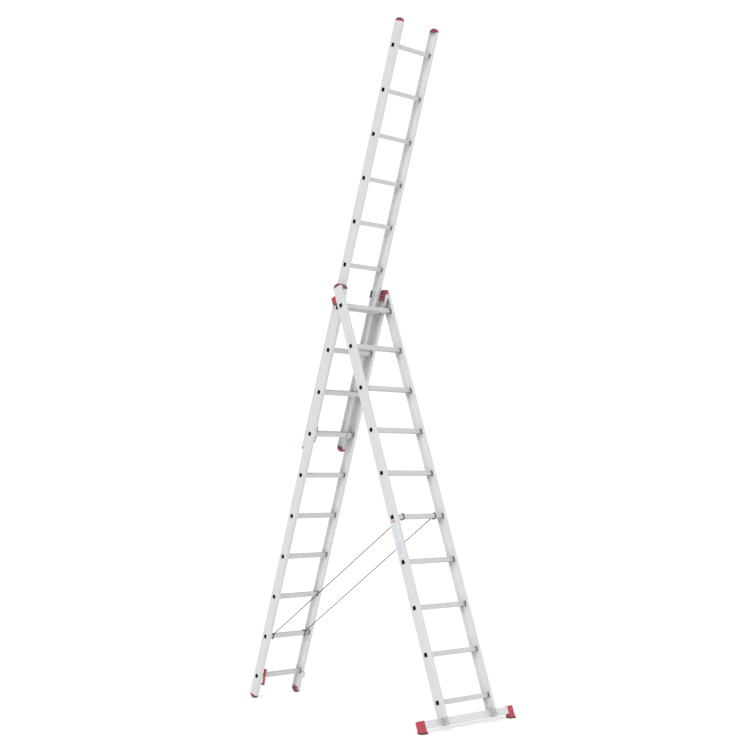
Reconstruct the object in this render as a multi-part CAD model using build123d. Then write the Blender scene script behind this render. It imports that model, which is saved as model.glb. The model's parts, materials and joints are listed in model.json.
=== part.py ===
"""Three-section aluminium combination ladder, standing as a step ladder with its third section run out.

World frame: +X to the right when you face the front leg, +Y to the rear, +Z up, floor at Z = 0.
Each section is drawn in a frame of its own: origin at the centre of its lowest rung, +Z up along
the stiles, +Y to the rear. A placement then leans the section and puts it in the world.
All lengths are in millimetres.
"""
from build123d import *
import os
from math import atan2, cos, degrees, hypot, radians, sin, tan

# ---------------------------------------------------------------- driving dimensions
PITCH = 280.0               # distance between rungs
RUNGS = 10                  # rungs in each section
LEAN = 18.7                 # lean of each leg from the vertical, degrees
RUN_OUT = 6                 # pitches that the third section is run out by

STILE_DEPTH = 64.0          # stile profile, front to rear
STILE_WIDTH = 25.0          # stile profile, side to side
WEB = 2.2                   # wall of the stile's outer face
FLANGE = 2.5                # wall of the stile's front and rear faces
NEST_GAP = 2.5              # play between the stiles of neighbouring sections, each side
EXTENSION_WIDTH = 336.0     # over the third section's stiles
REAR_WIDTH = EXTENSION_WIDTH + 2 * (STILE_WIDTH + NEST_GAP)
FRONT_WIDTH = REAR_WIDTH + 2 * (STILE_WIDTH + NEST_GAP)

RUNG = 28.0                 # square rung tube
RUNG_WALL = 1.7
RUNG_CORNER = 3.0
FLUTES = 6                  # grip grooves in each face of a rung
FLUTE_DEPTH = 0.7

NEST_OFFSET = 49.0          # one section's rungs sit this far behind the next one's
HANG_DROP = 7.0             # a hooked-on rung hangs this far below the rung that carries it

TOP_RUNG_Z = PITCH * (RUNGS - 1)
STILE_ABOVE = 128.0         # stile above the centre of the top rung
EXTENSION_STILE_ABOVE = 150.0
FRONT_STILE_BELOW = 86.0    # the front stiles stop above the crossbar
REAR_STILE_BELOW = 129.4
EXTENSION_STILE_BELOW = 100.0
DOME = 23.0                 # height of the domed caps and feet
DOME_ROUNDING = 7.0         # along the side edges of a dome
PLUG = 4.0                  # plug of a cap or foot in its channel
REAR_PLUG = 50.0            # the rear section's top caps reach further into the channel

HINGE_PIN = 3.8             # radius
HINGE_PLAY = 0.05
HINGE_FRONT_Y = 24.0        # pin behind the middle of the front stile
HINGE_FRONT_Z = TOP_RUNG_Z + 22.9
HINGE_REAR_Y = -24.0        # pin in front of the middle of the rear stile
HINGE_REAR_Z = TOP_RUNG_Z + 27.7

CROSSBAR_LENGTH = 780.0
CROSSBAR_HEIGHT = 43.0
CROSSBAR_DEPTH = 25.0
CROSSBAR_WALL = 2.0
CROSSBAR_FRONT_Y = 2.0      # front face of the crossbar, behind the middle of the stile
SHOE_X = 383.0              # middle of each crossbar shoe
SHOE_TOP_WIDTH = 44.0
SHOE_SOLE_WIDTH = 70.0
SHOE_TOP_DEPTH = 31.0
SHOE_SOLE_DEPTH = 56.0
SHOE_DROP = 105.0           # the flare is drawn from the bar's top to this far below it
SHOE_WAIST = 50.0           # where the flare starts, below the bar's top
SHOE_BOW = 0.32             # how far the flare's sides bow inward, as a part of the flare
SOLE = 8.0                  # rubber sole under a shoe
BRACKET_BELOW = 5.0        # crossbar bracket below the bar
BRACKET_PLUG = 10.0         # its plug up the stile's channel
BOLT = 4.0                  # radius of the crossbar bolts
BOLT_HEAD = 6.5             # corner radius of their heads and nuts

FRONT_GUIDE_Z = TOP_RUNG_Z + 29.0   # blocks that steer the rear leg's stiles between the front ones
FRONT_GUIDE_HEIGHT = 51.0
FRONT_GUIDE_DEPTH = 36.0
GUIDE_HEIGHT = 48.0         # clips that hold the third section to the rear leg
GUIDE_STEEL = 3.0
GUIDE_FOOT = 14.0           # the clip's foot on the rear stile
GUIDE_LIP = 12.0            # the lip round the third section's stile
HOOK_STEEL = 4.5            # thickness of the hook strip
HOOK_WIDTH = 12.0
HOOK_BEND = 5.0             # inner radius of the hook's bends
HOOK_MARGIN = 10.0           # between a hook and the stile beside it
HOOK_REACH = {"rear": 82.0, "extension": 70.5}      # front face, ahead of its own rung's middle
LATCH_WIDTH = 15.0
LATCH_INSET = 19.0          # middle of the latch, from the left stile's inner edge
LATCH_PIN = 2.5             # radius of the safety latch's pin
LATCH_Y = -26.0             # pin, from the middle of the rung
LATCH_Z = 2.0
LATCH_TILT = {"rear": 8.0, "extension": 0.0}        # the finger end hangs this far forward, degrees
BRACKET_STEEL = 2.0
ROPE = 3.2                  # radius of the spreader ropes
ROPE_X = 139.0              # ropes left and right of the middle
ROPE_FRONT_RUNG = 5
ROPE_REAR_RUNG = 2
KNOT = 5.5                  # radius of a knot
KNOT_REACH = 27.0           # its centre, from the middle of the rung
LABEL_WIDTH = 48.0
LABEL_LOW = 872.0
LABEL_HEIGHT = 230.0

CLEAR = 0.3                 # clearance between pieces that belong to different sections

os.makedirs("parts", exist_ok=True)


# ---------------------------------------------------------------- small helpers
def save(name, *solids):
    """Write one node; several solids make a group."""
    shape = solids[0] if len(solids) == 1 else Compound(children=list(solids))
    export_step(shape, f"parts/{name}.step")
    return shape


def block(x0, x1, y0, y1, z0, z1):
    """Box between two corners."""
    size = (x1 - x0, y1 - y0, z1 - z0)
    centre = ((x0 + x1) / 2, (y0 + y1) / 2, (z0 + z1) / 2)
    return Pos(*centre) * Box(*size)


def rod_x(radius, x0, x1, y, z):
    """Round bar along X."""
    return Pos((x0 + x1) / 2, y, z) * Rot(0, 90, 0) * Cylinder(radius, abs(x1 - x0))


def rod_y(radius, y0, y1, x, z):
    """Round bar along Y."""
    return Pos(x, (y0 + y1) / 2, z) * Rot(90, 0, 0) * Cylinder(radius, abs(y1 - y0))


def slab_x(outline, x0, x1):
    """Prism along X over an outline drawn in (Y, Z)."""
    face = Plane.YZ * make_face(outline)
    return Pos(x0, 0, 0) * extrude(face, x1 - x0, dir=(1, 0, 0))


def mirrored(solid):
    """The same piece on the other side of the ladder."""
    return mirror(solid, Plane.YZ)


# ---------------------------------------------------------------- placements
# A dome is half an ellipse; this is its reach towards the floor when its stile leans.
DOME_REACH = hypot(STILE_DEPTH / 2 * sin(radians(LEAN)), DOME * cos(radians(LEAN)))
HINGE_HEIGHT = (
    (HINGE_REAR_Z + REAR_STILE_BELOW) * cos(radians(LEAN))
    + HINGE_REAR_Y * sin(radians(LEAN))
    + DOME_REACH
)


def place(angle, local_y, local_z):
    """Placement of a section that leans by angle, its hinge point above the origin."""
    return Pos(0, 0, HINGE_HEIGHT) * Rot(angle, 0, 0) * Pos(0, -local_y, -local_z)


FRONT = place(-LEAN, HINGE_FRONT_Y, HINGE_FRONT_Z)
REAR = place(LEAN, HINGE_REAR_Y, HINGE_REAR_Z)
EXTENSION = REAR * Pos(0, NEST_OFFSET, RUN_OUT * PITCH - HANG_DROP)


# ---------------------------------------------------------------- stiles and rungs
def rung_outline():
    """Square tube outline with rounded corners and shallow grip grooves in each face."""
    sketch = RectangleRounded(RUNG, RUNG, RUNG_CORNER)
    step = (RUNG - 2 * RUNG_CORNER) / FLUTES
    for i in range(FLUTES):
        along = -RUNG / 2 + RUNG_CORNER + step * (i + 0.5)
        for turn in (0, 90, 180, 270):
            groove = Pos(along, RUNG / 2) * Rectangle(step / 2, 2 * FLUTE_DEPTH)
            sketch -= Rot(0, 0, turn) * groove
    inner = RUNG - 2 * (RUNG_WALL + FLUTE_DEPTH / 2)
    return sketch - RectangleRounded(inner, inner, RUNG_CORNER / 2)


def rung(width):
    """One rung, from outer face to outer face of the stiles, its axis along X."""
    return Pos(-width / 2, 0, 0) * extrude(Plane.YZ * rung_outline(), width, dir=(1, 0, 0))


def rungs(width):
    """The ten rungs of a section."""
    one = rung(width)
    return [Pos(0, 0, PITCH * i) * one for i in range(RUNGS)]


def stile_outline():
    """Open channel with its web at X = 0 and its flanges towards +X, in (X, Y)."""
    outer = Pos(STILE_WIDTH / 2, 0) * Rectangle(STILE_WIDTH, STILE_DEPTH)
    outer = fillet(outer.vertices().group_by(Axis.X)[0], 2.5)
    hollow_width = STILE_WIDTH - WEB
    hollow = Pos(WEB + hollow_width / 2, 0) * Rectangle(hollow_width, STILE_DEPTH - 2 * FLANGE)
    hollow = fillet(hollow.vertices().group_by(Axis.X)[0], 0.8)
    profile = outer - hollow
    lip_width, lip_thick = 3.0, 0.6
    for side in (-1, 1):
        lip = Pos(STILE_WIDTH - lip_width / 2, side * (STILE_DEPTH / 2 - FLANGE - lip_thick / 2))
        profile += lip * Rectangle(lip_width, lip_thick)
    return profile


def left_stile(width, below, above=STILE_ABOVE, pin_holes=()):
    """Left stile of a section, with a square hole for each rung.

    pin_holes are (y, z, radius) of round holes through the web.
    """
    length = TOP_RUNG_Z + above + below
    stile = Pos(-width / 2, 0, -below) * extrude(stile_outline(), length)
    hole = extrude(Plane.YZ * RectangleRounded(RUNG, RUNG, RUNG_CORNER), 3 * WEB, both=True)
    for i in range(RUNGS):
        stile -= Pos(-width / 2, 0, PITCH * i) * hole
    for y, z, radius in pin_holes:
        stile -= rod_x(radius, -width / 2 - 1, -width / 2 + 2 * WEB, y, z)
    return stile


def dome(width, shrink=0.0):
    """Half-elliptical prism over a straight skirt, on a left stile's end that is at Z = 0."""
    half = STILE_DEPTH / 2 - shrink
    skirt = DOME + 1
    outline = Ellipse(half, DOME - shrink) + Pos(0, -skirt / 2) * Rectangle(2 * half, skirt)
    return Pos(-width / 2, 0, 0) * extrude(Plane.YZ * outline, STILE_WIDTH, dir=(1, 0, 0))


def domed_cap(width, end_z, up, plug_length=PLUG):
    """Domed plastic cap on a left stile's end, with a plug in the channel."""
    head = dome(width)
    sides = head.faces().filter_by(Axis.X)
    rims = [edge for side in sides for edge in side.edges() if edge.bounding_box().max.Z > -DOME]
    head = fillet(rims, DOME_ROUNDING)
    head -= block(-width, 0, -STILE_DEPTH, STILE_DEPTH, -2 * DOME, 0)
    plug_half = STILE_DEPTH / 2 - FLANGE - 2.0
    plug = block(
        -width / 2 + WEB, -width / 2 + STILE_WIDTH - 0.6,
        -plug_half, plug_half,
        -plug_length, 0,
    )
    cap = head + plug
    if not up:
        cap = mirror(cap, Plane.XY)
    return Pos(0, 0, end_z) * cap


def domed_foot(width, end_z):
    """Rocker foot of the rear leg: a plastic head and, under it, a rubber tread, as two solids."""
    whole = domed_cap(width, end_z, up=False)
    tread_thick = 5.0
    core = Pos(0, 0, end_z) * mirror(dome(width, shrink=tread_thick), Plane.XY)
    below = block(-width, 0, -STILE_DEPTH, STILE_DEPTH, end_z - DOME - 1, end_z - 4)
    tread = (whole & below) - core
    return whole - tread, tread


# ---------------------------------------------------------------- hooks and safety latches
def hook(x_inner, reach):
    """Bent steel strip that hooks over the next section's rung.

    Its rear leg lies on the front of its own rung; x_inner is the strip's edge nearest the left.
    """
    rear_y = -RUNG / 2
    seat_z = RUNG / 2 + HANG_DROP + CLEAR
    tip_z = -RUNG / 2
    y_size = reach + rear_y
    y_mid = (rear_y - reach) / 2
    z_mid = (seat_z + HOOK_STEEL + tip_z) / 2
    outer = Pos(y_mid, z_mid) * Rectangle(y_size, seat_z + HOOK_STEEL - tip_z)
    outer = fillet(outer.vertices().group_by(Axis.Y)[-1], HOOK_BEND + HOOK_STEEL)
    throat = Pos(y_mid, (seat_z + tip_z) / 2) * Rectangle(y_size - 2 * HOOK_STEEL, seat_z - tip_z)
    throat = fillet(throat.vertices().group_by(Axis.Y)[-1], HOOK_BEND)
    return Pos(x_inner, 0, 0) * extrude(Plane.YZ * (outer - throat), HOOK_WIDTH, dir=(1, 0, 0))


def latch_bracket(x_mid):
    """Small steel clevis riveted to the front of the lowest rung."""
    half = LATCH_WIDTH / 2 + 0.5
    front = LATCH_Y - 5
    wide = half + BRACKET_STEEL
    plate = block(-wide, wide, -RUNG / 2 - BRACKET_STEEL, -RUNG / 2, -11, 12)
    ears = [
        block(x, x + BRACKET_STEEL, front, -RUNG / 2 - BRACKET_STEEL, LATCH_Z - 7, LATCH_Z + 7)
        for x in (-half - BRACKET_STEEL, half)
    ]
    clevis = plate + ears[0] + ears[1]
    clevis -= rod_x(LATCH_PIN, -50, 50, LATCH_Y, LATCH_Z)
    return Pos(x_mid, 0, 0) * clevis


def latch_pin(x_mid):
    """Pin of the safety latch, with a head at each end."""
    half = LATCH_WIDTH / 2 + 0.5 + BRACKET_STEEL
    pin = rod_x(LATCH_PIN, -half, half, LATCH_Y, LATCH_Z)
    for side in (-1, 1):
        pin += rod_x(LATCH_PIN + 1.5, side * half, side * (half + 1.2), LATCH_Y, LATCH_Z)
    return Pos(x_mid, 0, 0) * pin


def latch(x_mid, tilt_degrees):
    """Plastic safety latch: a broad thumb plate, a catch nose and a finger hook at its foot."""
    rear = LATCH_Y + 9.0        # thumb plate, rear and front faces
    front = LATCH_Y - 4.5
    stem_rear = LATCH_Y + 3.5
    stem_front = LATCH_Y - 4.5
    nose = LATCH_Y - 10.5
    grip = LATCH_Y + 18.0
    top, foot = 54.0, -56.0
    plate = [(stem_front, -8), (front, 10), (front, top - 4), (front + 3, top), (rear - 1, top), (rear, 12)]
    hanging = [
        (stem_rear + 1, -6), (stem_rear, -20), (stem_rear - 1, foot + 8), (grip, foot + 8),
        (grip + 1, foot + 2), (grip - 3, foot), (stem_front + 1, foot), (stem_front - 1, foot + 6),
        (stem_front, -25), (nose + 2, -22), (nose + 2, -17), (stem_front, -12),
    ]
    tilt = tan(radians(tilt_degrees))
    points = plate + [(y + z * tilt, z) for y, z in hanging]
    lever = slab_x(Polyline(*points, close=True), -LATCH_WIDTH / 2, LATCH_WIDTH / 2)
    lever -= rod_x(LATCH_PIN + HINGE_PLAY, -LATCH_WIDTH, LATCH_WIDTH, LATCH_Y, LATCH_Z)
    return Pos(x_mid, 0, 0) * lever


def rivet_y(x, y, z, radius=3.2, proud=1.2):
    """Blind rivet head standing forward of a face at y."""
    return rod_y(radius, y - proud, y, x, z)


def save_hooks(prefix, placement, width):
    """Hook at the right, safety latch at the left, with the bracket, pin and rivets, on the lowest rung."""
    inner_face = width / 2 - STILE_WIDTH
    x_latch = -inner_face + LATCH_INSET
    x_hook = inner_face - HOOK_MARGIN - HOOK_WIDTH
    save(f"{prefix}_hook", placement * hook(x_hook, HOOK_REACH[prefix]))
    save(f"{prefix}_latch_bracket", placement * latch_bracket(x_latch))
    save(f"{prefix}_latch_pin", placement * latch_pin(x_latch))
    save(f"{prefix}_safety_latch", placement * latch(x_latch, LATCH_TILT[prefix]))
    strip_face = -RUNG / 2 - HOOK_STEEL
    heads = [placement * rivet_y(x_hook + HOOK_WIDTH / 2, strip_face, z) for z in (-7, 7)]
    save(f"{prefix}_hook_rivets", *heads)


# ---------------------------------------------------------------- front section
def save_front_section():
    """Front leg: the widest section, with crossbar, shoes, guides and hinge pins."""
    width = FRONT_WIDTH
    web_x = -width / 2
    pin_hole = (HINGE_FRONT_Y, HINGE_FRONT_Z, HINGE_PIN)
    stile = left_stile(width, FRONT_STILE_BELOW, pin_holes=[pin_hole])
    save("front_stile_left", FRONT * stile)
    save("front_stile_right", FRONT * mirrored(stile))
    save("front_rungs", *[FRONT * r for r in rungs(width)])

    cap = domed_cap(width, TOP_RUNG_Z + STILE_ABOVE, up=True)
    save("front_cap_left", FRONT * cap)
    save("front_cap_right", FRONT * mirrored(cap))

    # Guide block on the rear flange: it steers the rear leg's stile when the ladder is folded.
    back = STILE_DEPTH / 2
    low, high = FRONT_GUIDE_Z, FRONT_GUIDE_Z + FRONT_GUIDE_HEIGHT
    deep = back + FRONT_GUIDE_DEPTH
    guide = block(web_x, web_x + STILE_WIDTH + 1.8, back, deep, low, high)
    guide = fillet(guide.edges().filter_by(Axis.X).group_by(Axis.Y)[-1], 4)
    guide -= block(web_x + 4, web_x + STILE_WIDTH - 2, back + 8, deep + 1, low + 6, low + 20)
    guide -= block(web_x + 4, web_x + STILE_WIDTH - 2, back + 8, deep + 1, low + 26, high - 6)
    save("front_guide_left", FRONT * guide)
    save("front_guide_right", FRONT * mirrored(guide))

    # Hinge pin: head outside, a spacer in the front channel, a collar inside the rear channel.
    y, z = HINGE_FRONT_Y, HINGE_FRONT_Z
    rear_web = -REAR_WIDTH / 2
    shank = rod_x(HINGE_PIN, web_x, rear_web + WEB + 0.3, y, z)
    head = rod_x(6.5, web_x - 2, web_x, y, z)
    collar = rod_x(5.0, rear_web + WEB + 0.3, rear_web + WEB + 4.3, y, z)
    pin = shank + head + collar
    spacer = rod_x(4.8, web_x + WEB, rear_web - CLEAR, y, z) - rod_x(HINGE_PIN, web_x, 0, y, z)
    save("hinge_pin_left", FRONT * pin)
    save("hinge_pin_right", FRONT * mirrored(pin))
    save("hinge_spacer_left", FRONT * spacer)
    save("hinge_spacer_right", FRONT * mirrored(spacer))
    save_crossbar(web_x)


def shoe_block():
    """Flared block of a crossbar shoe around X = 0, from the crossbar's top down past the floor."""
    mid_y = CROSSBAR_FRONT_Y + CROSSBAR_DEPTH / 2
    top = -FRONT_STILE_BELOW + 3
    foot = top - SHOE_DROP
    waist = top - SHOE_WAIST

    def flared(top_size, sole_size):
        a, b = top_size / 2, sole_size / 2
        middle = a + (b - a) * SHOE_BOW
        right = ThreePointArc((a, waist), (middle, (waist + foot) / 2), (b, foot))
        left = ThreePointArc((-b, foot), (-middle, (waist + foot) / 2), (-a, waist))
        edges = [
            Line((-a, top), (a, top)), Line((a, top), (a, waist)), right,
            Line((b, foot), (-b, foot)), left, Line((-a, waist), (-a, top)),
        ]
        return make_face(edges)

    front = extrude(Plane.XZ * flared(SHOE_TOP_WIDTH, SHOE_SOLE_WIDTH), SHOE_SOLE_WIDTH, both=True)
    side = extrude(Plane.YZ * flared(SHOE_TOP_DEPTH, SHOE_SOLE_DEPTH), SHOE_SOLE_WIDTH, both=True)
    return Pos(0, mid_y, 0) * (front & side)


def save_crossbar(web_x):
    """Crossbar, its plastic end brackets on the stiles, shoes, soles and bolts."""
    top = -FRONT_STILE_BELOW
    y0 = CROSSBAR_FRONT_Y
    y1 = y0 + CROSSBAR_DEPTH
    half = CROSSBAR_LENGTH / 2
    bar = block(-half, half, y0, y1, top - CROSSBAR_HEIGHT, top)
    bar = fillet(bar.edges().filter_by(Axis.X), 3)
    wall = CROSSBAR_WALL
    bar -= block(-half - 1, half + 1, y0 + wall, y1 - wall, top - CROSSBAR_HEIGHT + wall, top - wall)

    # End bracket: a ribbed block in front of the crossbar, with a plug up the stile's channel.
    front = -STILE_DEPTH / 2
    inner = web_x + STILE_WIDTH
    foot = top - CROSSBAR_HEIGHT - BRACKET_BELOW
    bracket = block(web_x, inner, front, y0, foot, top)
    for rib_y, rib_width in ((8, 5), (19, 6)):
        bracket -= block(web_x - 1, web_x + 3, front + rib_y, front + rib_y + rib_width, foot - 1, top - 6)
    plug_half = STILE_DEPTH / 2 - FLANGE - 2
    bracket += block(web_x + WEB, inner - 0.6, -plug_half, plug_half, top, top + BRACKET_PLUG)

    bolts = []
    for side in (-1, 1):
        x = side * (abs(web_x) - STILE_WIDTH / 2)
        z = top - CROSSBAR_HEIGHT / 2
        hole = rod_y(BOLT, front - 1, y1 + 1, x, z)
        bar -= hole
        if side < 0:
            bracket -= hole
        shank = rod_y(BOLT, front, y1, x, z)
        hexagon = Rot(90, 0, 0) * extrude(RegularPolygon(BOLT_HEAD, 6), 2.5, both=True)
        head = Pos(x, front - 2.5, z) * hexagon
        nut = Pos(x, y1 + 2.5, z) * hexagon
        bolts.append(FRONT * (shank + head + nut))
    save("crossbar", FRONT * bar)
    save("crossbar_bracket_left", FRONT * bracket)
    save("crossbar_bracket_right", FRONT * mirrored(bracket))
    save("crossbar_bolts", *bolts)

    # Shoe: a plastic sleeve over the bar's end; its sole is rubber and lies level on the floor.
    sleeve = Pos(-SHOE_X, 0, 0) * shoe_block()
    cavity = block(-half, half, y0, y1, top - CROSSBAR_HEIGHT, top)
    sleeve -= cavity
    lifted = Pos(0, 0, SOLE) * above_floor_world()
    shoe = (FRONT * sleeve) & lifted
    sole = ((FRONT * sleeve) & above_floor_world()) - lifted
    save("shoe_left", shoe)
    save("shoe_right", mirrored(shoe))
    save("shoe_sole_left", sole)
    save("shoe_sole_right", mirrored(sole))


def above_floor_world():
    """A large block that stands on the floor."""
    return Pos(0, 0, 1000) * Box(2000, 4000, 2000)


# ---------------------------------------------------------------- rear section
def save_rear_section():
    """Rear leg: the middle section, with feet, guides for the third section, hooks and latch."""
    width = REAR_WIDTH
    web_x = -width / 2
    pin_hole = (HINGE_REAR_Y, HINGE_REAR_Z, HINGE_PIN + HINGE_PLAY)
    stile = left_stile(width, REAR_STILE_BELOW, pin_holes=[pin_hole])
    save("rear_stile_left", REAR * stile)
    save("rear_stile_right", REAR * mirrored(stile))
    save("rear_rungs", *[REAR * r for r in rungs(width)])

    cap = domed_cap(width, TOP_RUNG_Z + STILE_ABOVE, up=True, plug_length=REAR_PLUG)
    save("rear_cap_left", REAR * cap)
    save("rear_cap_right", REAR * mirrored(cap))

    foot, tread = domed_foot(width, -REAR_STILE_BELOW)
    save("rear_foot_left", REAR * foot)
    save("rear_foot_right", REAR * mirrored(foot))
    save("rear_tread_left", REAR * tread)
    save("rear_tread_right", REAR * mirrored(tread))

    # Guide clip: its foot lies on the rear stile, and it wraps round the third section's stile.
    back = STILE_DEPTH / 2
    low = TOP_RUNG_Z + STILE_ABOVE - GUIDE_HEIGHT
    high = TOP_RUNG_Z + STILE_ABOVE
    wall_back = NEST_OFFSET + STILE_DEPTH / 2 + 2 * CLEAR
    side_x = -EXTENSION_WIDTH / 2 - 2 * CLEAR
    lip_x = -EXTENSION_WIDTH / 2 + STILE_WIDTH + 2 * CLEAR
    steel = GUIDE_STEEL
    guide = block(side_x - GUIDE_FOOT, side_x, back, back + steel, low, high)
    guide += block(side_x - steel, side_x, back, wall_back + steel, low, high)
    guide += block(side_x, lip_x + steel, wall_back, wall_back + steel, low, high)
    guide += block(lip_x, lip_x + steel, wall_back - GUIDE_LIP, wall_back, low, high)
    save("rear_guide_left", REAR * guide)
    save("rear_guide_right", REAR * mirrored(guide))
    save_hooks("rear", REAR, width)


# ---------------------------------------------------------------- third section
def save_extension_section():
    """Third section: the narrowest, run out and hooked on the rear leg."""
    width = EXTENSION_WIDTH
    stile = left_stile(width, EXTENSION_STILE_BELOW, EXTENSION_STILE_ABOVE)
    save("extension_stile_left", EXTENSION * stile)
    save("extension_stile_right", EXTENSION * mirrored(stile))
    save("extension_rungs", *[EXTENSION * r for r in rungs(width)])
    cap = domed_cap(width, TOP_RUNG_Z + EXTENSION_STILE_ABOVE, up=True)
    save("extension_cap_left", EXTENSION * cap)
    save("extension_cap_right", EXTENSION * mirrored(cap))
    foot = domed_cap(width, -EXTENSION_STILE_BELOW, up=False)
    save("extension_foot_left", EXTENSION * foot)
    save("extension_foot_right", EXTENSION * mirrored(foot))
    save_hooks("extension", EXTENSION, width)


# ---------------------------------------------------------------- ropes and label
def rung_point(placement, number):
    """World point at a rung's centre."""
    return (placement * Pos(0, 0, PITCH * (number - 1))).position


def rope_loop(slope):
    """Turn of rope round a rung, with its knot on the side where the rope leaves at slope.

    Drawn around the origin; slope is in degrees from +Y towards +Z, in the section's frame.
    """
    middle = RUNG / 2 + CLEAR + ROPE
    path = (Plane.YZ * RectangleRounded(2 * middle, 2 * middle, RUNG_CORNER + ROPE)).wire()
    start = Plane(origin=path @ 0, z_dir=path % 0)
    turn = sweep(start * Circle(ROPE), path=path)
    knot = Rot(slope, 0, 0) * Pos(0, KNOT_REACH, 0) * Sphere(KNOT)
    return turn + knot


def save_ropes():
    """Two ropes that keep the legs from spreading, each knotted round a rung at both ends."""
    front = rung_point(FRONT, ROPE_FRONT_RUNG)
    rear = rung_point(REAR, ROPE_REAR_RUNG)
    run = hypot(rear.Y - front.Y, rear.Z - front.Z) - 2 * (KNOT_REACH + KNOT)
    slope = degrees(atan2(rear.Z - front.Z, rear.Y - front.Y))
    middle = Pos(0, (front.Y + rear.Y) / 2, (front.Z + rear.Z) / 2) * Rot(slope, 0, 0)
    front_loop = rope_loop(slope + LEAN)
    rear_loop = rope_loop(slope - LEAN + 180)
    z_front = PITCH * (ROPE_FRONT_RUNG - 1)
    z_rear = PITCH * (ROPE_REAR_RUNG - 1)
    for name, x in (("left", -ROPE_X), ("right", ROPE_X)):
        save(f"rope_{name}", middle * rod_y(ROPE, -run / 2, run / 2, x, 0))
        save(f"rope_front_loop_{name}", FRONT * Pos(x, 0, z_front) * front_loop)
        save(f"rope_rear_loop_{name}", REAR * Pos(x, 0, z_rear) * rear_loop)


def save_label():
    """Plain adhesive label on the outer face of the left front stile."""
    x = -FRONT_WIDTH / 2
    half = LABEL_WIDTH / 2
    sticker = block(x - 0.3, x, -half, half, LABEL_LOW, LABEL_LOW + LABEL_HEIGHT)
    save("front_label", FRONT * sticker)


save_front_section()
save_rear_section()
save_extension_section()
save_ropes()
save_label()
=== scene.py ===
"""Aluminium combination ladder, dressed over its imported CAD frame.

Row frame: metres, Z up, floor at Z = 0, the front leg towards -Y. Each section also has a frame of
its own, as in the CAD: origin at its lowest rung's centre, Z up the stiles, Y to the rear.
"""
import json
from math import cos, pi, radians, sin, tau

import bpy
from mathutils import Matrix, Vector


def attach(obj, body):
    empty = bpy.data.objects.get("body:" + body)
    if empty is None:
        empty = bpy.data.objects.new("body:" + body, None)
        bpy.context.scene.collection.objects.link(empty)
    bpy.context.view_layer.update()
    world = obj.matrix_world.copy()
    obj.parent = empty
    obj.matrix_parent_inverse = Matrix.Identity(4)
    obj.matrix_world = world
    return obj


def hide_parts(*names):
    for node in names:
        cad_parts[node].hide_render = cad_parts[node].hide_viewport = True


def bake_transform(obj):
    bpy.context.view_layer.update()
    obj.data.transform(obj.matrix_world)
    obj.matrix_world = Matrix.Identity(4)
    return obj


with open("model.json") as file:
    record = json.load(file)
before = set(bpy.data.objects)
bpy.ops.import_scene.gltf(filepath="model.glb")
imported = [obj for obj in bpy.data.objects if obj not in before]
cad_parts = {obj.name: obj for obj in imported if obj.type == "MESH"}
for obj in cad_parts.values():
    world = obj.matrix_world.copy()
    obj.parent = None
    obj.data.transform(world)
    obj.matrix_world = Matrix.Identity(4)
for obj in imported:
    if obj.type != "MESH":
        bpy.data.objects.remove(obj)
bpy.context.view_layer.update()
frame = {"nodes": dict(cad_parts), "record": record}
nodes = frame["nodes"]
joints = {joint["name"]: joint for joint in frame["record"]["behaviour"]["joints"]}

# ---------------------------------------------------------------- the ladder's own sizes, metres
LEAN = radians(18.7)
PITCH = 0.280
RUNGS = 10
TOP_RUNG = PITCH * (RUNGS - 1)
STILE_DEPTH = 0.064
STILE_WIDTH = 0.025
WEB = 0.0022                 # wall of the stile's outer face
FLANGE = 0.0025              # wall of the stile's front and rear faces
RIB_PLACE = 0.0175           # the stile's ribs, from the middle of its outer face
RUNG = 0.028                 # square rung tube
WIDTHS = {"front": 0.446, "rear": 0.391, "extension": 0.336}
STILE_TOP = {"front": TOP_RUNG + 0.128, "rear": TOP_RUNG + 0.128, "extension": TOP_RUNG + 0.150}
CLIP_STEEL = 0.003           # thickness of the rear section's guide clips
ROPE = 0.0032                # radius
ROPE_GAP = 0.0003            # between a rung and the rope round it
ROPE_CORNER = 0.014          # where a turn round a rung starts to bend, from the rung's middle
ROPE_LAY = 0.026             # length in which a strand goes once round the rope
STRAND_REACH = 0.42          # middle of a strand, as a part of the rope's radius
STRAND_RADIUS = 0.58         # as a part of the rope's radius
STRAND_SIDES = 8
ROPE_X = 0.139
ROPE_ENDS = (("front", 4 * PITCH), ("rear", 1 * PITCH))      # section and height of the rung at each end
KNOT_REACH = 0.027           # middle of a knot, from the middle of its rung
KNOT = 0.0055                # half a knot's length along the rope
KNOT_WRAPS = 2.0             # times that the rope goes round itself in a knot
KNOT_WRAP_STEPS = 8          # points in each wrap
KNOT_WRAP_REACH = 0.0028     # middle of the wrapped rope, from the middle of the rope inside it
KNOT_WRAP_SHARE = 0.62       # part of the knot's length that the wraps take up
LABEL_LOW = 0.872
LABEL_HEIGHT = 0.230
LABEL_EDGE = 0.0186          # half the width that the label's fields take up
SCREW_GAP = 0.0006           # between a screw head's foot and the stile face that its place is set from

STILE_TONE = 0.59
RUNG_TONE = 0.57
CROSSBAR_TONE = 0.63
# painted light: a lighter grey for the insides of the stiles' channels, set against their shade
CHANNEL_PAINTED_LIGHT_TONE = 0.70
ALUMINIUM_METALLIC = 0.25


def section_frame(angle, local_y, local_z):
    """Placement of a section that leans by angle, with its hinge point on the hinge line."""
    hinge = Matrix.Translation(joints["rear_leg_fold"]["pos_m"])
    return hinge @ Matrix.Rotation(angle, 4, "X") @ Matrix.Translation((0, -local_y, -local_z))


PLACES = {
    "front": section_frame(-LEAN, 0.024, TOP_RUNG + 0.0229),
    "rear": section_frame(LEAN, -0.024, TOP_RUNG + 0.0277),
}
PLACES["extension"] = PLACES["rear"] @ Matrix.Translation((0, 0.049, 6 * PITCH - 0.007))
BODIES = {"front": "front_section", "rear": "rear_section", "extension": "extension_section"}


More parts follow.
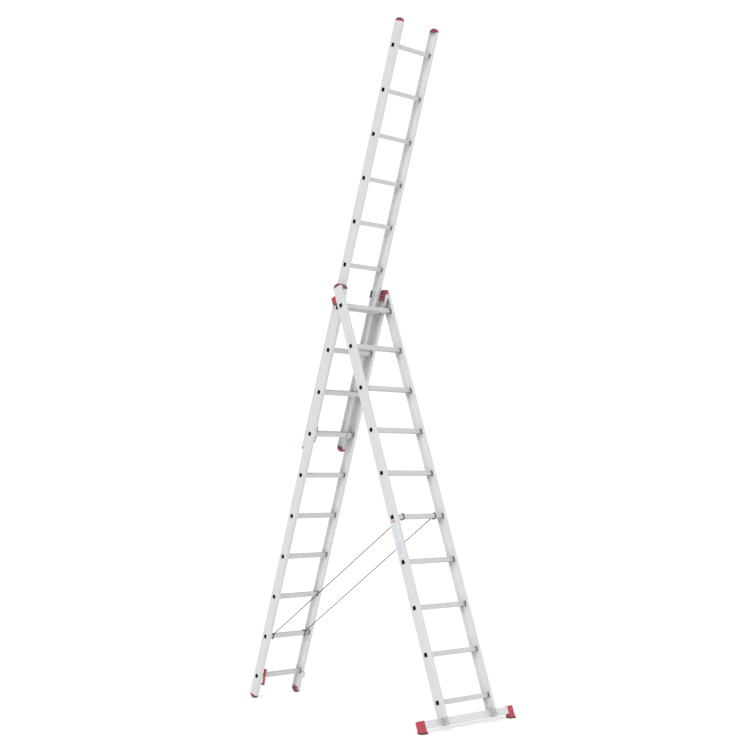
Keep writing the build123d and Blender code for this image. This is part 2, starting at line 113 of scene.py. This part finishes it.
# ---------------------------------------------------------------- shader helpers
class Shader:
    """A material whose nodes are added one call at a time."""

    def __init__(self, name, place=None):
        self.material = bpy.data.materials.new(name)
        self.material.use_nodes = True
        self.tree = self.material.node_tree
        self.surface = self.tree.nodes["Principled BSDF"]
        coords = self.tree.nodes.new("ShaderNodeTexCoord")
        self.place = coords.outputs["Object"]
        if place is not None:
            inverse = place.inverted()
            mapping = self.tree.nodes.new("ShaderNodeMapping")
            mapping.inputs["Location"].default_value = inverse.to_translation()
            mapping.inputs["Rotation"].default_value = inverse.to_euler()
            self.tree.links.new(coords.outputs["Object"], mapping.inputs["Vector"])
            self.place = mapping.outputs["Vector"]

    def set(self, **values):
        """Constants on the surface's own sockets; underscores stand for spaces."""
        for key, value in values.items():
            self.surface.inputs[key.replace("_", " ")].default_value = value

    def feed(self, socket, output):
        self.tree.links.new(output, self.surface.inputs[socket])

    def node(self, kind, inputs, **settings):
        """Adds a node; each input is a number, a tuple or another node's output."""
        node = self.tree.nodes.new(kind)
        for key, value in settings.items():
            setattr(node, key, value)
        for key, value in inputs.items():
            if isinstance(value, bpy.types.NodeSocket):
                self.tree.links.new(value, node.inputs[key])
            else:
                node.inputs[key].default_value = value
        return node

    def math(self, operation, *values):
        return self.node("ShaderNodeMath", dict(enumerate(values)), operation=operation).outputs[0]

    def stretched(self, scale):
        """The place, scaled along each axis, so that noise runs along one of them."""
        return self.node("ShaderNodeMapping", {"Vector": self.place, "Scale": scale}).outputs[0]

    def noise(self, scale, detail=3.0, roughness=0.55, vector=None):
        inputs = {"Vector": vector or self.place, "Scale": scale, "Detail": detail, "Roughness": roughness}
        return self.node("ShaderNodeTexNoise", inputs).outputs["Fac"]

    def ramp(self, value, low, high, out_low=0.0, out_high=1.0):
        """value from low..high spread over out_low..out_high, and held there outside."""
        inputs = {"Value": value, "From Min": low, "From Max": high, "To Min": out_low, "To Max": out_high}
        return self.node("ShaderNodeMapRange", inputs).outputs[0]

    def mix(self, factor, a, b):
        """Colour a where factor is 0, b where it is 1."""
        inputs = {0: factor, 6: a, 7: b}
        return self.node("ShaderNodeMix", inputs, data_type="RGBA").outputs[2]

    def bump(self, height, distance, strength=1.0):
        inputs = {"Height": height, "Distance": distance, "Strength": strength}
        self.feed("Normal", self.node("ShaderNodeBump", inputs).outputs[0])

    def axes(self):
        """The three coordinates of the place."""
        return self.node("ShaderNodeSeparateXYZ", {0: self.place}).outputs


def grey(value, blue=1.0):
    return (value, value, min(1.0, value * blue), 1.0)


# ---------------------------------------------------------------- materials
def extruded_aluminium(name, place, along, tone):
    """Mill-finished extrusion: fine draw lines along one axis, cloudy patches and small scuffs."""
    shader = Shader(name, place)
    scale = [1.0, 1.0, 1.0]
    scale[along] = 0.006
    lines = shader.noise(900.0, 2.0, vector=shader.stretched(scale))
    scale[along] = 0.02
    broad = shader.noise(160.0, 2.0, vector=shader.stretched(scale))
    clouds = shader.noise(9.0, 4.0)
    scuffs = shader.ramp(shader.noise(55.0, 6.0, 0.7), 0.66, 0.74)
    tint = shader.math("ADD", shader.math("MULTIPLY", broad, 0.5), shader.math("MULTIPLY", clouds, 0.5))
    plain = shader.mix(shader.ramp(tint, 0.35, 0.65), grey(tone * 0.955, 1.012), grey(tone * 1.03, 1.018))
    shader.feed("Base Color", shader.mix(scuffs, plain, grey(tone * 0.86)))
    rough = shader.ramp(shader.math("ADD", lines, shader.math("MULTIPLY", scuffs, 0.5)), 0.3, 0.9, 0.34, 0.52)
    shader.feed("Roughness", rough)
    shader.set(Metallic=ALUMINIUM_METALLIC, Specular_IOR_Level=0.35)
    return shader, lines


def stile_aluminium(section, tone):
    """The stile's extrusion, with two fine ribs along its outer face and painted light in its channel: a
    lighter, non-metallic grey that offsets the channel's shade.
    """
    shader, lines = extruded_aluminium(f"{section}_stile_aluminium", PLACES[section], 2, tone)
    x, y, _ = shader.axes()
    colour = shader.surface.inputs["Base Color"].links[0].from_socket
    outer = WIDTHS[section] / 2
    deep = shader.ramp(shader.math("ABSOLUTE", x), outer - WEB * 0.85, outer - WEB * 0.5, 1.0, 0.0)
    flange = STILE_DEPTH / 2 - FLANGE
    between = shader.ramp(shader.math("ABSOLUTE", y), flange + 0.0002, flange + 0.0005, 1.0, 0.0)
    # painted light: inside the channel the colour is lifted to the lighter channel grey and the metal is
    # taken out, to offset the shade between the channel's walls
    inside = shader.math("MULTIPLY", deep, between)
    shader.feed("Base Color", shader.mix(inside, colour, grey(CHANNEL_PAINTED_LIGHT_TONE)))
    shader.feed("Metallic", shader.ramp(inside, 0.0, 1.0, ALUMINIUM_METALLIC, 0.0))
    rib = shader.math("SUBTRACT", shader.math("ABSOLUTE", y), RIB_PLACE)
    groove = shader.ramp(shader.math("ABSOLUTE", rib), 0.0004, 0.0009)
    height = shader.math("ADD", shader.math("MULTIPLY", groove, 0.8), shader.math("MULTIPLY", lines, 0.12))
    shader.bump(height, 0.0004)
    return shader.material


def rung_aluminium(section, tone):
    """The rung's extrusion, with painted shade on its swaged end inside the stile's channel and painted shade
    inside the tube.
    """
    shader, lines = extruded_aluminium(f"{section}_rung_aluminium", PLACES[section], 0, tone)
    x, y, z = shader.axes()
    nearest = shader.math("WRAP", z, PITCH / 2, -PITCH / 2)
    reach = shader.math("MAXIMUM", shader.math("ABSOLUTE", y), shader.math("ABSOLUTE", nearest))
    outside = shader.ramp(reach, RUNG / 2 - 0.0018, RUNG / 2 - 0.0012)
    colour = shader.surface.inputs["Base Color"].links[0].from_socket
    stile_edge = WIDTHS[section] / 2 - STILE_WIDTH
    # painted shade: the swaged mask covers the rung's length inside the stile's channel, and the mix below
    # darkens it to tone * 0.45 there as the channel's shade
    swaged = shader.ramp(shader.math("ABSOLUTE", x), stile_edge + 0.002, stile_edge + 0.005)
    colour = shader.mix(swaged, colour, grey(tone * 0.45))
    # painted shade: where outside is 0, on the tube's inner faces, the colour is a near-black grey(0.035)
    # standing in for the shade inside the bore
    shader.feed("Base Color", shader.mix(outside, grey(0.035), colour))
    shader.bump(lines, 0.0001)
    return shader.material


def moulded_plastic(name, colour, roughness):
    """Injection-moulded plastic: spark-eroded grain, soft colour clouds and pale scuffs."""
    shader = Shader(name)
    grain = shader.noise(1400.0, 2.0)
    clouds = shader.noise(30.0, 3.0)
    scuffs = shader.ramp(shader.noise(120.0, 6.0, 0.75), 0.66, 0.76)
    dark = tuple(c * 0.82 for c in colour[:3]) + (1.0,)
    pale = tuple(c * 0.8 + 0.08 for c in colour[:3]) + (1.0,)
    shader.feed("Base Color", shader.mix(scuffs, shader.mix(clouds, dark, colour), pale))
    shader.feed("Roughness", shader.ramp(grain, 0.3, 0.7, roughness - 0.07, roughness + 0.07))
    shader.bump(grain, 0.00012)
    return shader.material


def rubber(name, place):
    """Black rubber with fine moulded grip lines and grey floor dust."""
    shader = Shader(name, place)
    z = shader.axes()[2]
    lines = shader.math("SINE", shader.math("MULTIPLY", z, 3600.0))
    dust = shader.ramp(shader.noise(60.0, 5.0, 0.65), 0.42, 0.72)
    shader.feed("Base Color", shader.mix(dust, grey(0.018), grey(0.06)))
    shader.feed("Roughness", shader.ramp(dust, 0.0, 1.0, 0.62, 0.85))
    shader.bump(lines, 0.0004, 0.6)
    return shader.material


def zinc_steel():
    """Zinc-plated strip and fasteners: small crystals and a satin sheen."""
    shader = Shader("zinc_steel")
    cells = shader.node("ShaderNodeTexVoronoi", {"Vector": shader.place, "Scale": 420.0}).outputs["Color"]
    spangle = shader.node("ShaderNodeSeparateColor", {0: cells}).outputs[0]
    stain = shader.noise(70.0, 4.0)
    tone = shader.math("ADD", shader.math("MULTIPLY", spangle, 0.35), shader.math("MULTIPLY", stain, 0.65))
    shader.feed("Base Color", shader.mix(tone, grey(0.50, 1.02), grey(0.72, 1.02)))
    shader.feed("Roughness", shader.ramp(tone, 0.2, 0.8, 0.26, 0.44))
    shader.bump(stain, 0.0002, 0.5)
    shader.set(Metallic=1.0)
    return shader.material


def rope_fibre():
    """Dyed polypropylene yarn: fine fibres along the strands, faded where it rubs."""
    shader = Shader("rope_fibre")
    fibres = shader.noise(2600.0, 3.0)
    fading = shader.noise(45.0, 4.0)
    fuzz = shader.noise(700.0, 4.0, 0.7)
    shade = shader.ramp(shader.math("ADD", fibres, fading), 0.7, 1.35)
    shader.feed("Base Color", shader.mix(shade, (0.060, 0.005, 0.008, 1.0), (0.15, 0.013, 0.019, 1.0)))
    shader.feed("Roughness", shader.ramp(fuzz, 0.3, 0.7, 0.62, 0.86))
    shader.bump(shader.math("ADD", fibres, fuzz), 0.0003, 0.8)
    shader.set(Sheen_Weight=0.2, Sheen_Roughness=0.5)
    return shader.material


def printed_label(place, low, high):
    """Plain printed film: pale grey with a dull rose band at the top and two blue-grey fields, no text."""
    shader = Shader("printed_label", place)
    _, y, z = shader.axes()
    height = shader.ramp(z, low, high)
    inside = shader.ramp(shader.math("ABSOLUTE", y), LABEL_EDGE, LABEL_EDGE + 0.0002, 1.0, 0.0)
    fibre = shader.noise(800.0, 3.0)
    worn = shader.ramp(shader.noise(90.0, 5.0, 0.7), 0.60, 0.72)
    paper = shader.mix(fibre, (0.54, 0.57, 0.59, 1.0), (0.61, 0.63, 0.65, 1.0))

    def band(start, end):
        above = shader.math("GREATER_THAN", height, start)
        below = shader.math("LESS_THAN", height, end)
        return shader.math("MULTIPLY", shader.math("MULTIPLY", above, below), inside)

    colour = shader.mix(band(0.925, 0.99), paper, (0.50, 0.25, 0.28, 1.0))
    colour = shader.mix(band(0.46, 0.88), colour, (0.52, 0.56, 0.60, 1.0))
    colour = shader.mix(band(0.06, 0.40), colour, (0.48, 0.52, 0.56, 1.0))
    shader.feed("Base Color", shader.mix(worn, colour, (0.70, 0.71, 0.74, 1.0)))
    shader.feed("Roughness", shader.ramp(fibre, 0.3, 0.7, 0.30, 0.40))
    shader.bump(fibre, 0.00004)
    return shader.material


cap_plastic = moulded_plastic("cap_plastic", (0.22, 0.024, 0.034, 1.0), 0.40)
guide_plastic = moulded_plastic("guide_plastic", (0.31, 0.032, 0.044, 1.0), 0.44)
shoe_plastic = moulded_plastic("shoe_plastic", (0.42, 0.036, 0.052, 1.0), 0.46)
lever_plastic = moulded_plastic("lever_plastic", (0.46, 0.035, 0.055, 1.0), 0.42)
clip_plastic = moulded_plastic("clip_plastic", grey(0.022), 0.48)
bracket_plastic = moulded_plastic("bracket_plastic", grey(0.46, 1.02), 0.50)
steel = zinc_steel()
stile_metal = {section: stile_aluminium(section, STILE_TONE) for section in PLACES}
rung_metal = {section: rung_aluminium(section, RUNG_TONE) for section in PLACES}
crossbar_shader, crossbar_lines = extruded_aluminium(
    "crossbar_aluminium", PLACES["front"], 0, CROSSBAR_TONE)
crossbar_shader.bump(crossbar_lines, 0.0001)
rope_material = rope_fibre()
rubber_front = rubber("shoe_rubber", None)
rubber_rear = rubber("foot_rubber", PLACES["rear"])


def material_for(name):
    """The material of a CAD node, from its name."""
    section = name.split("_")[0]
    if "stile" in name:
        return stile_metal[section]
    if name.endswith("rungs"):
        return rung_metal[section]
    if name == "front_label":
        return printed_label(PLACES["front"], LABEL_LOW, LABEL_LOW + LABEL_HEIGHT)
    by_word = {
        "crossbar_bracket": bracket_plastic, "crossbar_bolts": steel, "crossbar": crossbar_shader.material,
        "shoe_sole": rubber_front, "rear_tread": rubber_rear, "rope": rope_material,
        "front_guide": guide_plastic, "rear_guide": clip_plastic,
        "shoe": shoe_plastic, "safety_latch": lever_plastic, "cap": cap_plastic, "foot": cap_plastic,
    }
    return next((material for word, material in by_word.items() if word in name), steel)


# Bevel width by a word in the node's name; the first word that fits is used.
EDGE_ROUNDING = {"shoe": 0.0016, "safety_latch": 0.0011, "guide": 0.0007, "hook": 0.0007,
                 "crossbar_bracket": 0.0008, "latch_bracket": 0.0004}
for name, node in nodes.items():
    node.data.materials.clear()
    node.data.materials.append(material_for(name))
    for word, size in EDGE_ROUNDING.items():
        if word in name and "rivets" not in name:
            rounding = node.modifiers.new("edge rounding", "BEVEL")
            rounding.width = size
            rounding.segments = 3
            rounding.limit_method = "ANGLE"
            rounding.angle_limit = radians(40)
            break


# ---------------------------------------------------------------- pieces added to the CAD
def piece(name, verts, faces, material, body):
    """A mesh object that rides on a body, or on none if no body is given."""
    mesh = bpy.data.meshes.new(name)
    mesh.from_pydata(verts, [], faces)
    mesh.shade_smooth()
    mesh.materials.append(material)
    obj = bpy.data.objects.new(name, mesh)
    bpy.context.scene.collection.objects.link(obj)
    if body:
        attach(obj, body)
    return obj


def spline_points(control, resolution, cyclic=False):
    """The points of the smooth line that a rope takes over its control points."""
    curve = bpy.data.curves.new("route", "CURVE")
    curve.dimensions = "3D"
    curve.resolution_u = resolution
    spline = curve.splines.new("NURBS")
    spline.points.add(len(control) - 1)
    for point, place in zip(spline.points, control):
        point.co = (*place, 1.0)
    spline.order_u = 3
    spline.use_cyclic_u = cyclic
    spline.use_endpoint_u = not cyclic
    holder = bpy.data.objects.new("route", curve)
    mesh = bpy.data.meshes.new_from_object(holder)
    points = [vertex.co.copy() for vertex in mesh.vertices]
    bpy.data.objects.remove(holder)
    bpy.data.meshes.remove(mesh)
    bpy.data.curves.remove(curve)
    return points


def strands(points, closed=False):
    """Vertices and faces of a three-strand rope along a line."""
    verts, faces = [], []
    count = len(points)
    run = sum((points[i + 1] - points[i]).length for i in range(count - 1))
    if closed:
        run += (points[0] - points[-1]).length
    turns = round(run / ROPE_LAY) if closed else run / ROPE_LAY
    for strand in range(3):
        base = len(verts)
        along = 0.0
        for i, point in enumerate(points):
            before = points[i - 1] if closed or i else point
            after = points[(i + 1) % count] if closed or i < count - 1 else point
            ahead = (after - before).normalized()
            side = ahead.orthogonal() if abs(ahead.x) > 0.9 else ahead.cross(Vector((1, 0, 0))).cross(ahead)
            side.normalize()
            across = ahead.cross(side)
            angle = tau * (strand / 3 + turns * along / run)
            middle = point + ROPE * STRAND_REACH * (cos(angle) * side + sin(angle) * across)
            for k in range(STRAND_SIDES):
                turn = tau * k / STRAND_SIDES
                verts.append(middle + ROPE * STRAND_RADIUS * (cos(turn) * side + sin(turn) * across))
            if i < count - 1:
                along += (points[i + 1] - point).length
        for i in range(count if closed else count - 1):
            here, there = base + i * STRAND_SIDES, base + (i + 1) % count * STRAND_SIDES
            for k in range(STRAND_SIDES):
                beside = (k + 1) % STRAND_SIDES
                faces.append((here + k, here + beside, there + beside, there + k))
        if not closed:
            faces.append(tuple(base + k for k in reversed(range(STRAND_SIDES))))
            faces.append(tuple(base + (count - 1) * STRAND_SIDES + k for k in range(STRAND_SIDES)))
    return verts, faces


def turn_and_knot(middle, square, ahead):
    """A turn of rope round a rung and the knot that closes it, where the rope leaves along ahead."""
    half, corner = RUNG / 2 + ROPE_GAP + ROPE, ROPE_CORNER
    ring = [(half, -corner), (half, corner), (corner, half), (-corner, half),
            (-half, corner), (-half, -corner), (-corner, -half), (corner, -half)]
    control = [middle + square @ Vector((0, y, z)) for y, z in ring]
    verts, faces = strands(spline_points(control, 14, cyclic=True), closed=True)
    sideways = Vector((1, 0, 0))
    across = ahead.cross(sideways)
    wraps = []
    for i in range(int(KNOT_WRAPS * KNOT_WRAP_STEPS) + 1):
        angle = tau * i / KNOT_WRAP_STEPS
        along = KNOT_REACH + KNOT * (2 * i / (KNOT_WRAPS * KNOT_WRAP_STEPS) - 1) * KNOT_WRAP_SHARE
        out = cos(angle) * sideways + sin(angle) * across
        wraps.append(middle + ahead * along + KNOT_WRAP_REACH * out)
    core = [middle + ahead * (half + along) for along in (0.0, 0.006, 0.012, KNOT_REACH + KNOT - half)]
    for control, resolution in ((wraps, 5), (core, 6)):
        more_verts, more_faces = strands(spline_points(control, resolution))
        base = len(verts)
        verts += more_verts
        faces += [tuple(base + k for k in face) for face in more_faces]
    return verts, faces


for side, x in (("left", -ROPE_X), ("right", ROPE_X)):
    rung_middles = [PLACES[section] @ Vector((x, 0, height)) for section, height in ROPE_ENDS]
    run_axis = (rung_middles[1] - rung_middles[0]).normalized()
    for (section, _), middle, ahead in zip(ROPE_ENDS, rung_middles, (run_axis, -run_axis)):
        verts, faces = turn_and_knot(middle, PLACES[section].to_3x3(), ahead)
        turn = piece(f"rope_turn_{section}_{side}", verts, faces, rope_material, BODIES[section])
        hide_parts(f"rope_{section}_loop_{side}")
    leaves = rung_middles[0] + run_axis * (KNOT_REACH + KNOT)
    arrives = rung_middles[1] - run_axis * (KNOT_REACH + KNOT)
    line = spline_points([leaves.lerp(arrives, step / 4) for step in range(5)], 160)
    verts, faces = strands(line)
    rope = piece(f"rope_run_{side}", verts, faces, rope_material, None)
    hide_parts(f"rope_{side}")
    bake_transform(rope)


COLLAR_RISE = 0.0010         # height of a swaged collar over the stile's face
COLLAR_CORNER = 0.003        # inner corner radius of a collar
COLLAR_STEPS = 5             # points in each corner


def collar_loops():
    """Rounded-square loops of a swaged collar, from inside outwards; a point is (y, z, height)."""
    half, rise = RUNG / 2, COLLAR_RISE
    loops = []
    for size, height in ((half - 0.0012, rise * 0.4), (half + 0.0002, rise), (half + 0.0012, rise),
                         (half + 0.0020, rise * 0.5), (half + 0.0022, -0.0002)):
        radius = COLLAR_CORNER + max(0.0, size - half)
        loop = []
        for quarter in range(4):
            for step in range(COLLAR_STEPS):
                angle = (quarter + step / (COLLAR_STEPS - 1)) * pi / 2
                centre = (quarter + 0.5) * pi / 2
                flat = (size - radius) * 2**0.5
                loop.append((flat * cos(centre) + radius * cos(angle),
                             flat * sin(centre) + radius * sin(angle), height))
        loops.append(loop)
    return loops


def rung_collars(section):
    """The swaged collars round a section's rungs, on both faces of each stile's web."""
    verts, faces = [], []
    outer = WIDTHS[section] / 2
    loops = collar_loops()
    size = len(loops[0])
    for face_x, outward in ((-outer, -1), (-outer + WEB, 1), (outer, 1), (outer - WEB, -1)):
        for i in range(RUNGS):
            base = len(verts)
            for loop in loops:
                for y, z, height in loop:
                    verts.append(PLACES[section] @ Vector((face_x + outward * height, y, i * PITCH + z)))
            for row in range(len(loops) - 1):
                for k in range(size):
                    a, b = base + row * size + k, base + row * size + (k + 1) % size
                    quad = (a, b, b + size, a + size)
                    faces.append(quad if outward < 0 else quad[::-1])
    piece(f"{section}_rung_collars", verts, faces, stile_metal[section], BODIES[section])


# Rings of a screw head: how far out and how high, as parts of its radius.
SCREW_PROFILE = ((1.0, 0.0), (1.0, 0.18), (0.86, 0.36), (0.55, 0.46), (0.0, 0.30))
SCREW_STEPS = 16
RECESS_RING = 3              # the ring that dips four times for the cross recess
RECESS_DEPTH = 0.22          # as a part of the head's radius


def screw_head(place, outward, radius, verts, faces):
    """Adds a pan head with a cross recess at place, standing along outward (both in the row frame)."""
    side = outward.orthogonal().normalized()
    across = outward.cross(side)
    base = len(verts)
    for ring, (reach, height) in enumerate(SCREW_PROFILE):
        for k in range(SCREW_STEPS):
            angle = tau * k / SCREW_STEPS
            dip = RECESS_DEPTH if ring == RECESS_RING and k % 4 == 0 else 0.0
            verts.append(place + radius * (reach * (cos(angle) * side + sin(angle) * across)
                                           + (height - dip) * outward))
    for ring in range(len(SCREW_PROFILE) - 1):
        row = base + ring * SCREW_STEPS
        for k in range(SCREW_STEPS):
            a, b = row + k, row + (k + 1) % SCREW_STEPS
            faces.append((a, b, b + SCREW_STEPS, a + SCREW_STEPS))


def add_screws(section, spots, radius, name):
    """Screw heads of a section; spots are (place, outward) in the section's frame."""
    verts, faces = [], []
    turn = PLACES[section].to_3x3()
    for place, outward in spots:
        screw_head(PLACES[section] @ Vector(place), turn @ Vector(outward), radius, verts, faces)
    piece(name, verts, faces, steel, BODIES[section])


for section in PLACES:
    rung_collars(section)

channel_face = WIDTHS["rear"] / 2 - STILE_WIDTH + SCREW_GAP
cap_screws = [((side * channel_face, 0.0, STILE_TOP["rear"] - drop), (-side, 0, 0))
              for side in (-1, 1) for drop in (0.012, 0.038)]
add_screws("rear", cap_screws, 0.0040, "rear_cap_screws")
clip_x = WIDTHS["extension"] / 2 + SCREW_GAP + 0.008
clip_screws = [((side * clip_x, STILE_DEPTH / 2 + CLIP_STEEL, STILE_TOP["rear"] - drop), (0, 1, 0))
               for side in (-1, 1) for drop in (0.010, 0.038)]
add_screws("rear", clip_screws, 0.0034, "rear_guide_screws")

# ---------------------------------------------------------------- floor, light and camera
floor_mesh = bpy.data.meshes.new("floor")
FLOOR = 30.0
floor_mesh.from_pydata([(-FLOOR, -FLOOR, 0), (FLOOR, -FLOOR, 0), (FLOOR, FLOOR, 0), (-FLOOR, FLOOR, 0)],
                       [], [(0, 1, 2, 3)])
floor = bpy.data.objects.new("floor", floor_mesh)
bpy.context.scene.collection.objects.link(floor)
floor_shader = Shader("floor_paint")
floor_shader.set(Base_Color=grey(0.97), Roughness=0.9)
floor_mesh.materials.append(floor_shader.material)

# The studio is white all round and a little dimmer overhead; Z is the sine of the elevation.
SKY_FADE = {"From Min": 0.36, "From Max": 0.8, "To Min": 1.10, "To Max": 1.0}
world = bpy.data.worlds.new("studio")
bpy.context.scene.world = world
world.use_nodes = True
sky = world.node_tree
direction = sky.nodes.new("ShaderNodeSeparateXYZ")
sky.links.new(sky.nodes.new("ShaderNodeTexCoord").outputs["Generated"], direction.inputs[0])
fade = sky.nodes.new("ShaderNodeMapRange")
fade.interpolation_type = "SMOOTHSTEP"
sky.links.new(direction.outputs["Z"], fade.inputs["Value"])
for socket, value in SKY_FADE.items():
    fade.inputs[socket].default_value = value
sky.links.new(fade.outputs[0], sky.nodes["Background"].inputs["Strength"])
sky.nodes["Background"].inputs["Color"].default_value = (1.0, 1.0, 1.0, 1.0)

KEY_DIRECTION = Vector((0.62, 0.45, -0.64))
key = bpy.data.lights.new("key", "SUN")
key.energy = 0.9
key.angle = radians(40)
key_lamp = bpy.data.objects.new("key", key)
bpy.context.scene.collection.objects.link(key_lamp)
key_lamp.rotation_euler = KEY_DIRECTION.to_track_quat("-Z", "Y").to_euler()

# The camera that was fitted to the rungs and stiles in the photo.
CAMERA_PLACE = Vector((-6.0406, -6.3568, 1.3919))
YAW, PITCH_UP, ROLL = radians(45.976), radians(4.682), radians(-0.342)
LENS = 65.74                 # millimetres, on a sensor 36 mm wide
forward = Vector((cos(PITCH_UP) * cos(YAW), cos(PITCH_UP) * sin(YAW), sin(PITCH_UP)))
level_right = Vector((sin(YAW), -cos(YAW), 0))
level_up = level_right.cross(forward)
right = cos(ROLL) * level_right + sin(ROLL) * level_up
up = cos(ROLL) * level_up - sin(ROLL) * level_right
camera_data = bpy.data.cameras.new("camera")
camera_data.lens = LENS
camera_data.sensor_width = 36.0
camera = bpy.data.objects.new("camera", camera_data)
bpy.context.scene.collection.objects.link(camera)
camera.matrix_world = Matrix.Translation(CAMERA_PLACE) @ Matrix((right, up, -forward)).transposed().to_4x4()
bpy.context.scene.camera = camera
bpy.context.scene.view_settings.view_transform = "Standard"
